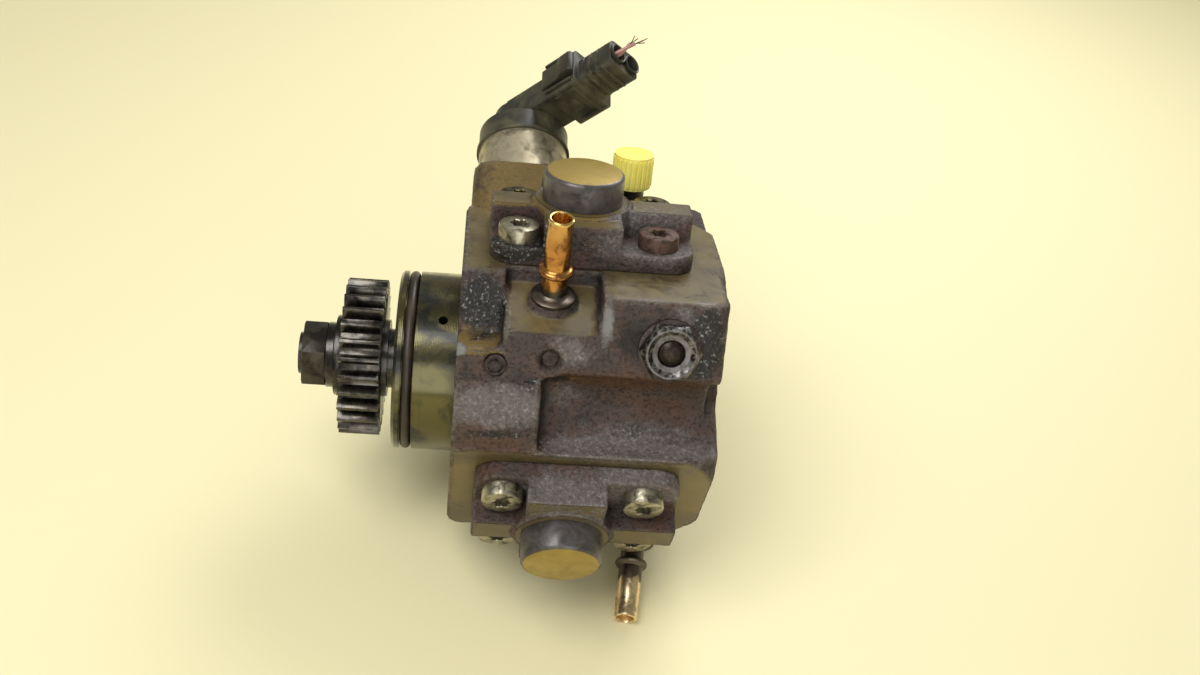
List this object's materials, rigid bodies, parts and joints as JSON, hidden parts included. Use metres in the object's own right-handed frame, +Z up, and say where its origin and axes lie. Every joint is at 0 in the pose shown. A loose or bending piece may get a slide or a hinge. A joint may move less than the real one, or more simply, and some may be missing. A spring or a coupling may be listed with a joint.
{
  "type": "diesel injection pump",
  "caption": "Radial-piston high-pressure diesel pump: cast housing with plunger heads round a geared eccentric shaft, spigots, metering valve with plug.",
  "frame": {"origin": "shaft axis where the pilot meets the housing's front face", "axes": "+X along the shaft towards the rear, -X towards the drive gear, +Z up as it lies on its third head cap and return spigot"},
  "size_m": [0.1364, 0.1677, 0.1476],
  "materials": {
    "cast_housing": "rough cast, oily",
    "oiled_pilot": "turned, oily",
    "black_screw": "blackened steel",
    "seal_rubber": "dark brown rubber",
    "bearing_bronze": "bronze bush",
    "oiled_steel": "dark oily steel",
    "ground_steel": "ground",
    "gear_steel": "dark oily, bright edges",
    "nut_steel": "dark plated",
    "can_steel": "stained zinc",
    "winding": "varnished copper winding",
    "spring_steel": "spring wire",
    "black_plastic": "moulded",
    "pink_wire": "wire insulation",
    "copper_brass": "bright, coppery",
    "tarnished_brass": "tarnished",
    "zinc_union": "zinc plated",
    "yellow_plastic": "translucent moulded",
    "worn_zinc_plug": "worn zinc plate",
    "brown_steel": "browned",
    "cast_head": "machined top on a rough casting",
    "black_cap": "blackened, smooth",
    "zinc_screw": "zinc plated"
  },
  "bodies": {
    "pump_body": {"housing": "cast_housing", "front_flange": "oiled_pilot", "flange_screws": "black_screw", "pilot_o_ring": "seal_rubber", "shaft_seal": "seal_rubber", "front_bush": "bearing_bronze", "rear_bush": "bearing_bronze", "metering_body": "can_steel", "metering_screws": "black_screw", "metering_coil": "winding", "metering_spring": "spring_steel", "metering_cover": "black_plastic", "inlet_spigot": "copper_brass", "return_spigot": "tarnished_brass", "outlet_union": "zinc_union", "overflow_body": "worn_zinc_plug", "overflow_spring": "spring_steel", "blanking_plugs": "brown_steel", "cylinder_head_1": "cast_head", "head_cap_1": "black_cap", "head_screws_1": "zinc_screw", "plunger_spring_1": "spring_steel", "inlet_valve_spring_1": "spring_steel", "outlet_ball_spring_1": "spring_steel", "cylinder_head_2": "cast_head", "head_cap_2": "black_cap", "head_screws_2": "zinc_screw", "plunger_spring_2": "spring_steel", "inlet_valve_spring_2": "spring_steel", "outlet_ball_spring_2": "spring_steel", "cylinder_head_3": "cast_head", "head_cap_3": "black_cap", "head_screws_3": "zinc_screw", "plunger_spring_3": "spring_steel", "inlet_valve_spring_3": "spring_steel", "outlet_ball_spring_3": "spring_steel"},
    "shaft": {"drive_shaft": "oiled_steel", "drive_gear": "gear_steel", "gear_washer": "oiled_steel", "gear_nut": "nut_steel", "shaft_key": "ground_steel"},
    "ring": {"polygon_ring": "ground_steel", "eccentric_bush": "bearing_bronze"},
    "metering_valve": {"metering_piston": "ground_steel"},
    "overflow_valve": {"overflow_piston": "brown_steel"},
    "shipping_cap": {"transport_cap": "yellow_plastic"},
    "plug": {"harness_plug": "black_plastic", "harness_wires": "pink_wire"},
    "pump_plunger_1": {"plunger_1": "ground_steel", "plunger_foot_1": "ground_steel"},
    "suction_valve_1": {"inlet_valve_1": "ground_steel"},
    "delivery_valve_1": {"outlet_ball_1": "ground_steel"},
    "pump_plunger_2": {"plunger_2": "ground_steel", "plunger_foot_2": "ground_steel"},
    "suction_valve_2": {"inlet_valve_2": "ground_steel"},
    "delivery_valve_2": {"outlet_ball_2": "ground_steel"},
    "pump_plunger_3": {"plunger_3": "ground_steel", "plunger_foot_3": "ground_steel"},
    "suction_valve_3": {"inlet_valve_3": "ground_steel"},
    "delivery_valve_3": {"outlet_ball_3": "ground_steel"}
  },
  "joints": [
    {"name": "shaft_spin", "type": "hinge", "parent": "pump_body", "child": "shaft", "pos_m": [0.0369, 0, 0], "axis": [1, 0, 0], "continuous": true},
    {"name": "ring_orbit", "type": "hinge", "parent": "shaft", "child": "ring", "pos_m": [0.0369, 0.00253, 0.00162], "axis": [1, 0, 0], "continuous": true},
    {"name": "plunger_1_stroke", "type": "slide", "parent": "pump_body", "child": "pump_plunger_1", "axis": [0, 0.2147, 0.9767], "range_m": [-0.00085, 0], "deforming": ["plunger_spring_1"]},
    {"name": "suction_valve_1_lift", "type": "slide", "parent": "pump_body", "child": "suction_valve_1", "axis": [0, 0.2147, 0.9767], "range_m": [-0.0006, 0], "stiffness_N_per_m": 200, "springref_m": 0.001, "deforming": ["inlet_valve_spring_1"]},
    {"name": "delivery_valve_1_lift", "type": "slide", "parent": "pump_body", "child": "delivery_valve_1", "axis": [0, 0.2147, 0.9767], "range_m": [-0.0008, 0], "stiffness_N_per_m": 200, "springref_m": 0.001, "deforming": ["outlet_ball_spring_1"]},
    {"name": "plunger_2_stroke", "type": "slide", "parent": "pump_body", "child": "pump_plunger_2", "axis": [0, -0.9532, -0.3024], "range_m": [-0.0022, 0], "deforming": ["plunger_spring_2"]},
    {"name": "suction_valve_2_lift", "type": "slide", "parent": "pump_body", "child": "suction_valve_2", "axis": [0, -0.9532, -0.3024], "range_m": [-0.0006, 0], "stiffness_N_per_m": 200, "springref_m": 0.001, "deforming": ["inlet_valve_spring_2"]},
    {"name": "delivery_valve_2_lift", "type": "slide", "parent": "pump_body", "child": "delivery_valve_2", "axis": [0, -0.9532, -0.3024], "range_m": [-0.0008, 0], "stiffness_N_per_m": 200, "springref_m": 0.001, "deforming": ["outlet_ball_spring_2"]},
    {"name": "plunger_3_stroke", "type": "slide", "parent": "pump_body", "child": "pump_plunger_3", "axis": [0, 0.7385, -0.6743], "range_m": [-0.0022, 0], "deforming": ["plunger_spring_3"]},
    {"name": "suction_valve_3_lift", "type": "slide", "parent": "pump_body", "child": "suction_valve_3", "axis": [0, 0.7385, -0.6743], "range_m": [-0.0006, 0], "stiffness_N_per_m": 200, "springref_m": 0.001, "deforming": ["inlet_valve_spring_3"]},
    {"name": "delivery_valve_3_lift", "type": "slide", "parent": "pump_body", "child": "delivery_valve_3", "axis": [0, 0.7385, -0.6743], "range_m": [-0.0008, 0], "stiffness_N_per_m": 200, "springref_m": 0.001, "deforming": ["outlet_ball_spring_3"]},
    {"name": "metering_stroke", "type": "slide", "parent": "pump_body", "child": "metering_valve", "axis": [0, 0.9532, 0.3024], "range_m": [-0.002, 0], "deforming": ["metering_spring"]},
    {"name": "overflow_lift", "type": "slide", "parent": "pump_body", "child": "overflow_valve", "axis": [0, -0.9107, 0.4131], "range_m": [-0.003, 0], "stiffness_N_per_m": 1000, "springref_m": 0.002, "deforming": ["overflow_spring"]},
    {"name": "cap_pull", "type": "slide", "parent": "pump_body", "child": "shipping_cap", "axis": [0, 0.2147, 0.9767], "range_m": [0, 0.03]},
    {"name": "plug_pull", "type": "slide", "parent": "pump_body", "child": "plug", "axis": [0.6691, -0.2247, 0.7084], "range_m": [0, 0.022]}
  ],
  "couplings": [
    {"joint": "ring_orbit", "follows": "shaft_spin", "ratio": -1}
  ]
}
